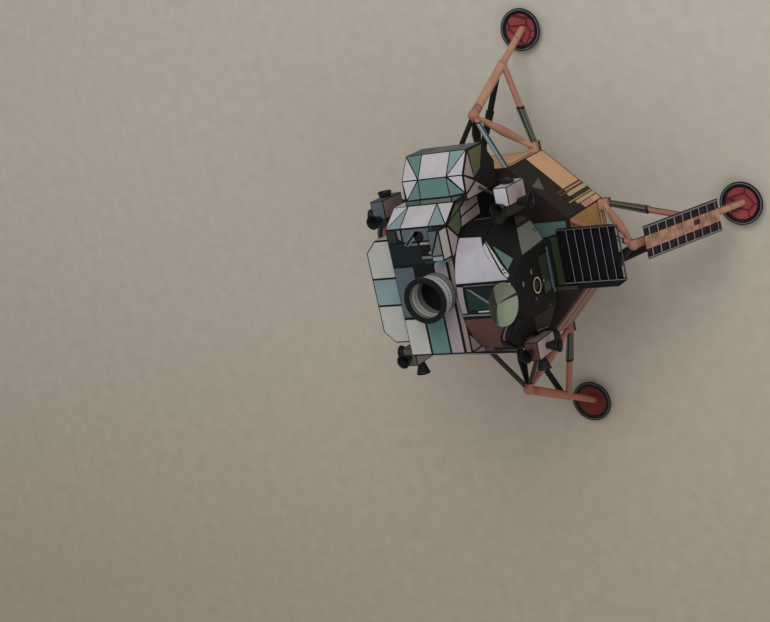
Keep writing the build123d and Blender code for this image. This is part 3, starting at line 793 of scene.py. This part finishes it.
def strut_material(name, side, value_of, stops, stripes=None, where=None, shade=None, edges=(),
                   washed=None):
    """A printed tube. Stops are bands along it, stripes run lengthwise between two places, shade is the
    colour of the struts on the leg's far side, edges are lengthwise lines by the skin's direction, and
    washed is a second tone."""
    material, tree = new_material(name + "_print_" + side)
    last_band = 30
    low, high = stops[0][0], stops[-1][0] + last_band
    value = value_of(tree)
    colour = bands(tree, value, low, high, [(place, palette[tone]) for place, tone in stops])
    skin = skin_direction(tree)
    lengthwise = side in ("port", "starboard")
    sideways = skin[1] if lengthwise else skin[0]
    if stripes:
        share = sums(tree, "MULTIPLY_ADD", skin[2], 0.5, 0.5)
        tones = bands(tree, share, 0.0, 1.0, [(place, palette[tone]) for place, tone in stripes])
        colour = mixed(tree, between_values(tree, value, *where), colour, tones)
    colour = wash(tree, colour, washed, 0.6) if washed else colour
    for low_edge, high_edge in edges:
        colour = mixed(tree, between_values(tree, sideways, low_edge, high_edge), colour, palette["umber"])
    if shade:
        position = parts_of(tree, place_on(tree))
        far = position[1] if lengthwise else sums(tree, "MULTIPLY", position[0], -1.0)
        colour = mixed(tree, sums(tree, "GREATER_THAN", far, 0.6), colour, palette[shade])
    card_finish(tree, colour, 0.6, 0.22)
    return material


def dress(node, material):
    mesh = nodes[node].data
    mesh.materials.clear()
    mesh.materials.append(material)


def dress_legs():
    bunch = [(0.0, "ink"), (0.30, "moss"), (0.48, "ink"), (0.54, "grey_green"), (0.70, "ink"),
             (0.76, "grey_moss"), (0.84, "ink"), (0.90, "grey_green"), (0.965, "deep_olive")]
    cord = [(0.0, "ink"), (0.50, "grey_green"), (0.66, "ink"), (0.85, "pale_teal")]
    near = {"port": "pale_teal", "front": "brick", "starboard": "bark", "aft": "bark"}
    # The starboard and aft legs get darker tans and reds: painted shade on the legs turned from the lamps.
    tones = {"port": ("tan", "pink"), "front": ("tan", "pink"), "starboard": ("shaded_rust_tan", "brick"),
             "aft": ("shaded_rust_tan", "brick")}
    for side in legs:
        wood, blush = tones[side]
        primary = strut_material("primary_strut", side, height_over_floor, [
            (0, wood), (9.4, "umber"), (9.7, wood), (24.8, "umber"), (25.1, wood), (27.5, "umber"),
            (27.8, wood), (55.3, "umber"), (55.7, blush), (57.7, "umber"), (58.0, blush)],
            edges=((0.86, 0.97),), washed=blush)
        secondary = strut_material("secondary_strut", side, distance_out, [
            (38, "ink"), (43.0, wood), (44.4, "olive"), (57.4, "ink"), (58.6, blush), (76.5, wood)],
            bunch, (44.4, 57.4), "ink", ((0.80, 0.94),))
        upper = strut_material("upper_outrigger", side, distance_out, [
            (36, "lilac"), (40.0, "ink"), (40.6, near[side]), (57.4, "ink"), (58.0, blush)],
            cord if side in ("port", "front") else [(0.0, "ink"), (0.45, "olive"), (0.8, "bark")],
            (47.0 if side == "front" else 40.6, 57.4), "ink" if side in ("port", "front") else "bark")
        lower = strut_material("lower_outrigger", side, distance_out, [
            (36, "umber"), (41.8, wood), (46.0, blush), (56.2, "umber"), (56.6, blush), (60.4, "umber")],
            shade="ink", washed=wood)
        fitting = strut_material("corner_fitting", side, height_over_floor, [
            (30, "ink"), (35.0, "umber"), (36.2, "ink"), (36.6, wood), (37.6, "umber"), (37.9, wood)])
        dressed = {"primary_strut": primary, "secondary_struts": secondary, "upper_outriggers": upper,
                   "lower_outriggers": lower, "corner_fittings": fitting}
        for kind, material in dressed.items():
            dress(kind + "_" + side, material)


def pad_material(side, centre, shift, red, ring):
    """A cracked red disc in a black ring, with a thin pale ring and a dark rim."""
    material, tree = new_material("footpad_print_" + side)
    disc_radius, crack_width = 6.9, 0.055
    x, y, _ = parts_of(tree, place_on(tree, centre))
    flat = add(tree, "CombineXYZ", {"X": x, "Y": y}).outputs[0]
    out = add(tree, "VectorMath", {0: flat}, operation="LENGTH").outputs["Value"]
    colour = bands(tree, out, 0, 12, [(place, palette[tone]) for place, tone in (
        (0, red), (disc_radius, "ink"), (8.55, ring), (8.95, "sea_black"), (9.4, "ink"))])
    moved = add(tree, "Mapping", {"Vector": flat, "Location": (shift, shift * 1.7, 0)}).outputs[0]
    cracks = add(tree, "TexVoronoi", {"Vector": moved, "Scale": 0.13}, feature="DISTANCE_TO_EDGE")
    crack = sums(tree, "LESS_THAN", cracks.outputs["Distance"], crack_width)
    crack = sums(tree, "MULTIPLY", crack, sums(tree, "LESS_THAN", out, disc_radius))
    card_finish(tree, mixed(tree, sums(tree, "MULTIPLY", crack, 0.9), colour, palette["dark_red"]), 0.6, 0.25)
    return material


def dress_pads():
    """Each pad shows another place of the cracks."""
    for number, side in enumerate(legs):
        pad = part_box("footpad_" + side)
        middle = (pad[0] + pad[1]) / 2 / MM
        # The starboard pad gets a darker red and a darker ring: painted shade.
        red, ring = ("pad_red_shaded", "dim_grey") if side == "starboard" else ("pad_red", "grey_green")
        dress("footpad_" + side, pad_material(side, (middle.x, middle.y, 0), 3.1 * number, red, ring))


def ladder_material():
    """Dark squares down both sides of a tan band, with pale rails and rungs and one dark red patch."""
    material, tree = new_material("ladder_print")
    x, _, z = parts_of(tree, place_on(tree))
    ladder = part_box("ladder")
    low, high = ladder[0].z / MM, ladder[1].z / MM
    rungs, band_half, rail_inside, rail_outside = 9, 2.7, 6.0, 6.62
    rung_gap = (high - low) / rungs
    along = sums(tree, "FRACT", sums(tree, "DIVIDE", sums(tree, "SUBTRACT", z, low), rung_gap))
    from_rung = sums(tree, "ABSOLUTE", sums(tree, "SUBTRACT", along, 0.5))
    across = sums(tree, "ABSOLUTE", x)
    blots = add(tree, "TexNoise", {"Vector": place_on(tree), "Scale": 0.22, "Detail": 2.0}).outputs[0]
    blot = add(tree, "MapRange", {"Value": blots, "From Min": 0.42, "From Max": 0.6}).outputs[0]
    band = mixed(tree, blot, palette["ladder_tan"], palette["tan"])
    patch = sums(tree, "MULTIPLY", between_values(tree, z, low + 2.55 * rung_gap, low + 3.2 * rung_gap),
                 between_values(tree, x, -0.6, 1.5))
    band = mixed(tree, patch, band, palette["dark_red"])
    colour = mixed(tree, sums(tree, "GREATER_THAN", across, band_half), band, brown_black)
    colour = mixed(tree, sums(tree, "LESS_THAN", from_rung, 0.05), colour, palette["lilac"])
    colour = mixed(tree, sums(tree, "GREATER_THAN", across, rail_inside), colour, palette["mid_grey"])
    colour = mixed(tree, sums(tree, "GREATER_THAN", across, rail_outside), colour, ink)
    card_finish(tree, colour, 0.6, 0.2)
    return material


def porch_material():
    """Near-black card with one thin pale line on each of its six slats."""
    material, tree = new_material("porch_print")
    x, y, z = parts_of(tree, place_on(tree))
    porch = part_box("porch")
    low, high, top = porch[0].y / MM, porch[1].y / MM, porch[1].z / MM
    spaces, wall, line_half_share, line_half_length = 7, 0.8, 0.024, 11.0
    gap = (high - low - 2 * wall) / spaces
    along = sums(tree, "FRACT", sums(tree, "DIVIDE", sums(tree, "SUBTRACT", y, low + wall), gap))
    near = sums(tree, "MINIMUM", along, sums(tree, "SUBTRACT", 1.0, along))
    line_share = sums(tree, "LESS_THAN", near, line_half_share)
    inside = sums(tree, "LESS_THAN", sums(tree, "ABSOLUTE", x), line_half_length)
    inside = sums(tree, "MULTIPLY", inside, between_values(tree, y, low + 1.5, high - 1.2))
    on_top = sums(tree, "GREATER_THAN", z, top - 0.2)
    line_share = sums(tree, "MULTIPLY", line_share, sums(tree, "MULTIPLY", inside, on_top))
    card_finish(tree, mixed(tree, line_share, navy, palette["lilac"]), 0.55, 0.25)
    return material


def dish_material():
    """Sectors round the dish's point: printed ones, and dark ones that are painted shade."""
    material, tree = new_material("dish_print_and_shade")
    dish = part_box("radar_dish")
    x, _, z = parts_of(tree, place_on(tree, (dish[0] + dish[1]) / 2 / MM))
    turn = sums(tree, "ARCTAN2", z, x)
    half_round = 3.1416
    # The dark sectors from 0.45 to 2.5 radians are painted shade on the part of the dish past its fold; the
    # others are print.
    print_and_shade_sectors = ((-half_round, "dish_green"), (-1.46, "deep_olive"), (-1.29, "dish_pale"), (0.45, "bark"),
               (1.2, "moss"), (1.8, "bark"), (2.3, "dull_teal"), (2.5, "dish_green"))
    colour = bands(tree, turn, -half_round, half_round, [(place, palette[tone]) for place, tone in print_and_shade_sectors])
    card_finish(tree, colour, 0.55, 0.2)
    return material


def nozzle_material(corner, centre):
    """Thin rings printed round each nozzle, outwards from the middle of its cluster."""
    material, tree = new_material("nozzle_print_" + corner)
    rings_per_mm, dark_share = 0.9, 0.74
    away = add(tree, "VectorMath", {0: place_on(tree, centre)}, operation="ABSOLUTE").outputs[0]
    x, y, z = parts_of(tree, away)
    reach = sums(tree, "MAXIMUM", sums(tree, "MAXIMUM", x, y), z)
    wave = sums(tree, "FRACT", sums(tree, "MULTIPLY", reach, rings_per_mm))
    ring = sums(tree, "GREATER_THAN", wave, dark_share)
    card_finish(tree, mixed(tree, ring, ink, (0.030, 0.030, 0.032)), 0.5, 0.2)
    return material


def quad_boxes():
    """Each cluster has its folded box, with printed outlines on every side."""
    finishes = [
        ("port_front", "white", "lilac_white", "rose_grey"),
        ("port_aft", "blue_slate", "dim_grey", "pink_beige"),
        ("starboard_aft", "grey_moss", "pink_beige", "lilac"),
        ("starboard_front", "umber", "pink_beige", "rose_grey"),
    ]
    size = Vector((7.5, 5.8, 15.0))
    cover = 0.12             # thickness of the printed card over it
    for corner, top, side, end in finishes:
        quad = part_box("thruster_quad_" + corner)
        hand_x = 1 if corner.startswith("port") else -1
        hand_y = 1 if corner.endswith("aft") else -1
        centre = Vector((hand_x * max(abs(quad[0].x), abs(quad[1].x)) / MM - hand_x * size.x / 2,
                         hand_y * max(abs(quad[0].y), abs(quad[1].y)) / MM - hand_y * size.y / 2,
                         (quad[0].z + quad[1].z) / 2 / MM))
        dress("thruster_nozzles_" + corner, nozzle_material(corner, centre))
        bm = bmesh.new()
        covered = size + 2 * cover * Vector((1, 1, 1))
        place = Matrix.Translation(centre * MM) @ Matrix.Diagonal((*(covered * MM), 1))
        bmesh.ops.create_cube(bm, size=1.0, matrix=place)
        for face in bm.faces:
            lengths = [abs(value) for value in face.normal]
            face.material_index = (2, 3, 1)[lengths.index(max(lengths))]
        draw_outline(bm, bm.faces[:], 0.34)
        materials = [printed(colour) for colour in ("ink", top, side, end)]
        finish_piece(bm, "quad_box_" + corner, materials)


def bell_material():
    """Grey card in bands, with fine dark lines round it and a dark seam."""
    material, tree = new_material("engine_bell_print")
    x, y, z = parts_of(tree, place_on(tree))
    band_height, lines_per_mm, seam_half = 3.7, 1.1, 0.3
    near = sums(tree, "FRACT", sums(tree, "MULTIPLY", z, 1 / band_height))
    fine = sums(tree, "FRACT", sums(tree, "MULTIPLY", z, lines_per_mm))
    colour = mixed(tree, sums(tree, "LESS_THAN", fine, 0.22), palette["mid_grey"], palette["dim_grey"])
    colour = mixed(tree, sums(tree, "LESS_THAN", near, 0.12), colour, ink)
    at_seam = sums(tree, "LESS_THAN", sums(tree, "ABSOLUTE", x), seam_half)
    seam = sums(tree, "MULTIPLY", at_seam, sums(tree, "GREATER_THAN", y, 0.0))
    card_finish(tree, mixed(tree, seam, colour, ink), 0.55, 0.2)
    return material


def ring_material():
    """One pale line round a black ring."""
    material, tree = new_material("tracking_ring_print")
    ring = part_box("tracking_ring")
    line_inside, line_outside = 2.75, 3.35
    x, _, z = parts_of(tree, place_on(tree, (ring[0] + ring[1]) / 2 / MM))
    out = sums(tree, "SQRT", sums(tree, "MULTIPLY_ADD", x, x, sums(tree, "MULTIPLY", z, z)))
    pale = between_values(tree, out, line_inside, line_outside)
    card_finish(tree, mixed(tree, pale, ink, palette["cream"]), 0.55, 0.2)
    return material


def tunnel_material():
    """Pale card with dark rings and a row of small dark marks."""
    material, tree = new_material("docking_tunnel_print")
    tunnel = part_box("docking_tunnel")
    centre = (tunnel[0] + tunnel[1]) / 2 / MM
    x, y, z = parts_of(tree, place_on(tree, (centre.x, centre.y, tunnel[0].z / MM)))
    tall = (tunnel[1].z - tunnel[0].z) / MM
    colour = bands(tree, z, 0, tall + 1, [
        (0, ink), (0.5, palette["mid_grey"]), (3.6, ink), (4.0, palette["cream_white"]), (8.4, ink),
        (8.8, palette["mid_grey"]), (tall - 0.6, ink)])
    turn = sums(tree, "ARCTAN2", y, x)
    marks_round = 48
    beat = sums(tree, "FRACT", sums(tree, "MULTIPLY", turn, marks_round / (2 * pi)))
    marks = sums(tree, "MULTIPLY", between_values(tree, z, 5.6, 6.6), sums(tree, "LESS_THAN", beat, 0.4))
    card_finish(tree, mixed(tree, marks, colour, ink), 0.6, 0.2)
    return material


dress_legs()
dress_pads()
dress("ladder", ladder_material())
dress("porch", porch_material())
dress("radar_dish", dish_material())
dress("engine_bell", bell_material())
dress("docking_tunnel", tunnel_material())
dress("tracking_ring", ring_material())
quad_boxes()

plain_nodes = {
    "descent_body": "brown_black", "descent_deck": "brown_black", "descent_underside": "umber",
    "cabin_front": "ink", "cabin_barrel": "ink", "cabin_base": "ink",
    "forward_hatch": "ink", "hatch_sill": "blue_slate",
    "window_port": "window_teal", "window_starboard": "sea_black",
    "midsection": "ink", "tank_bay_port": "ink", "tank_bay_starboard": "ink", "aft_bay": "ink",
    "roof_box": "ink", "radar_mount": "deep_olive",
}
for node, colour in plain_nodes.items():
    dress(node, printed(colour))
for corner in corners_round:
    dress("thruster_quad_" + corner, printed("deep_olive"))

stage()
camera()
